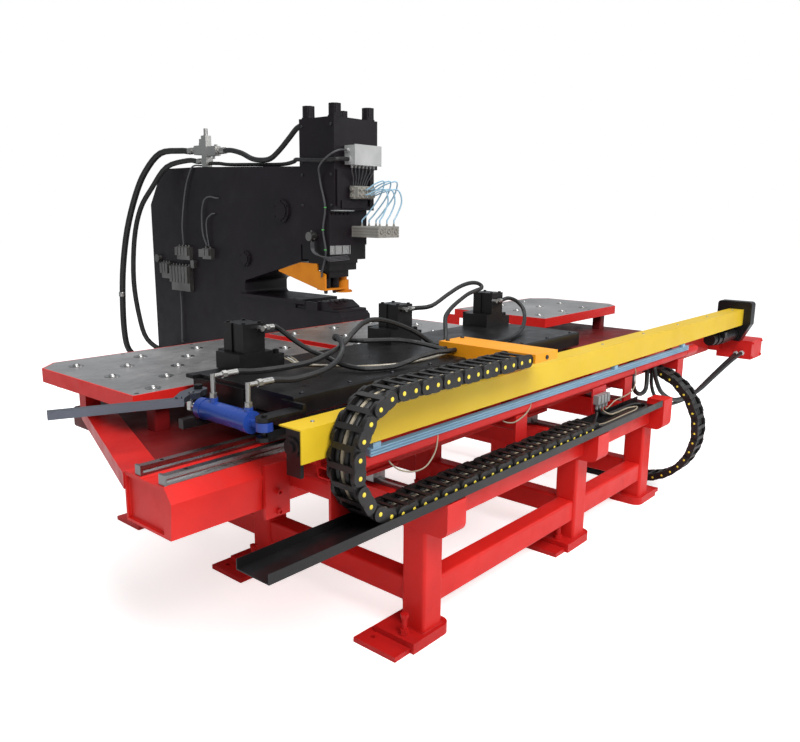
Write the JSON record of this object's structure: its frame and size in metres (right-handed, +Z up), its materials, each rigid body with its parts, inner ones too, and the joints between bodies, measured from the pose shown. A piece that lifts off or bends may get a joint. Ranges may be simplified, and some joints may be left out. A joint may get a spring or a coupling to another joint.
{
  "type": "cnc plate punching machine",
  "caption": "CNC hydraulic plate punching machine: C-frame press, ball tables on a gantry and a plate-clamp carriage with cable chains.",
  "frame": {"origin": "on the floor, below the centre of the box round the whole machine", "axes": "+X along the gantry beam, away from its cable-chain loop; +Y from the loading side to the press; +Z up"},
  "size_m": [4.41, 4.3493, 2.087],
  "materials": {
    "red_paint": "gloss enamel, red",
    "black_paint": "satin enamel, black",
    "yellow_paint": "gloss enamel, yellow",
    "orange_paint": "gloss enamel, orange",
    "blue_paint": "gloss enamel, blue",
    "steel": "ground steel",
    "dark_steel": "oiled tool steel",
    "zinc": "zinc plate",
    "aluminium": "anodised",
    "grey_paint": "light grey enamel",
    "hose_rubber": "matt",
    "chain_plastic": "moulded nylon, black"
  },
  "bodies": {
    "base": {"feet": "red_paint", "anchor_bolts": "red_paint", "legs": "red_paint", "y_beams": "red_paint", "frame_rails": "red_paint", "y_guide_rails": "steel", "cframe_body": "black_paint", "head_block": "black_paint", "tie_rod_nuts": "dark_steel", "punch_housing": "black_paint", "junction_box": "grey_paint", "valve_block": "zinc", "selector_bodies": "aluminium", "stripper": "orange_paint", "die_holder": "black_paint", "dies": "dark_steel", "hydraulic_manifold": "zinc", "side_valves": "zinc", "pressure_hoses": "hose_rubber", "signal_cables": "hose_rubber", "y_chain_tray": "black_paint", "y_chain_lower": "chain_plastic"},
    "gantry": {"saddles": "red_paint", "y_bearings": "steel", "x_beam": "red_paint", "x_rails": "steel", "front_member": "red_paint", "switch_bar": "aluminium", "cable_tray": "black_paint", "table_tops": "steel", "table_edging": "red_paint", "ball_transfers": "steel", "table_frames": "red_paint", "side_brace": "red_paint", "cover": "yellow_paint", "belt_housing": "black_paint", "servo_motor": "black_paint", "right_end_box": "red_paint", "connector_bracket": "red_paint", "x_chain_lower": "chain_plastic", "y_chain_upper": "chain_plastic"},
    "carriage": {"carriage_beam": "black_paint", "clamp_bases": "black_paint", "clamp_cylinders": "black_paint", "chain_bracket": "yellow_paint", "clamp_hoses": "hose_rubber", "hose_fittings": "zinc", "arm_bracket": "black_paint", "arm_cylinder": "blue_paint", "x_chain_upper": "chain_plastic"},
    "jaw_1": {"clamp_jaw_1": "dark_steel"},
    "jaw_2": {"clamp_jaw_2": "dark_steel"},
    "jaw_3": {"clamp_jaw_3": "dark_steel"},
    "arm": {"locating_arm": "steel"},
    "rod": {"arm_rod": "steel"},
    "x_loop": {"x_chain_loop": "chain_plastic"},
    "y_loop": {"y_chain_loop": "chain_plastic"},
    "punch_1": {"punch_1": "dark_steel"},
    "punch_2": {"punch_2": "dark_steel"},
    "punch_3": {"punch_3": "dark_steel"}
  },
  "joints": [
    {"name": "y_slide", "type": "slide", "parent": "base", "child": "gantry", "axis": [0, 1, 0], "range_m": [0, 1.05], "deforming": ["y_chain_lower", "y_chain_upper"]},
    {"name": "y_loop_slide", "type": "slide", "parent": "base", "child": "y_loop", "axis": [0, 1, 0], "range_m": [0, 0.525]},
    {"name": "x_slide", "type": "slide", "parent": "gantry", "child": "carriage", "axis": [1, 0, 0], "range_m": [-0.1, 1.4], "deforming": ["x_chain_lower", "x_chain_upper"]},
    {"name": "x_loop_slide", "type": "slide", "parent": "gantry", "child": "x_loop", "axis": [1, 0, 0], "range_m": [-0.05, 0.7]},
    {"name": "jaw_1_slide", "type": "slide", "parent": "carriage", "child": "jaw_1", "axis": [0, 0, -1], "range_m": [0, 0.026]},
    {"name": "jaw_2_slide", "type": "slide", "parent": "carriage", "child": "jaw_2", "axis": [0, 0, -1], "range_m": [0, 0.026]},
    {"name": "jaw_3_slide", "type": "slide", "parent": "carriage", "child": "jaw_3", "axis": [0, 0, -1], "range_m": [0, 0.026]},
    {"name": "arm_swing", "type": "hinge", "parent": "carriage", "child": "arm", "pos_m": [-1.74, -1.425, 0.861], "axis": [0, 0, -1], "range_deg": [0, 68.1]},
    {"name": "rod_slide", "type": "slide", "parent": "carriage", "child": "rod", "axis": [0, 1, 0], "range_m": [0, 0.0675]},
    {"name": "punch_1_slide", "type": "slide", "parent": "base", "child": "punch_1", "axis": [0, 0, -1], "range_m": [0, 0.055]},
    {"name": "punch_2_slide", "type": "slide", "parent": "base", "child": "punch_2", "axis": [0, 0, -1], "range_m": [0, 0.055]},
    {"name": "punch_3_slide", "type": "slide", "parent": "base", "child": "punch_3", "axis": [0, 0, -1], "range_m": [0, 0.055]}
  ],
  "couplings": [
    {"joint": "y_loop_slide", "follows": "y_slide", "ratio": 0.5},
    {"joint": "x_loop_slide", "follows": "x_slide", "ratio": 0.5},
    {"joint": "rod_slide", "follows": "arm_swing", "m_per_rad": 0.05679}
  ]
}
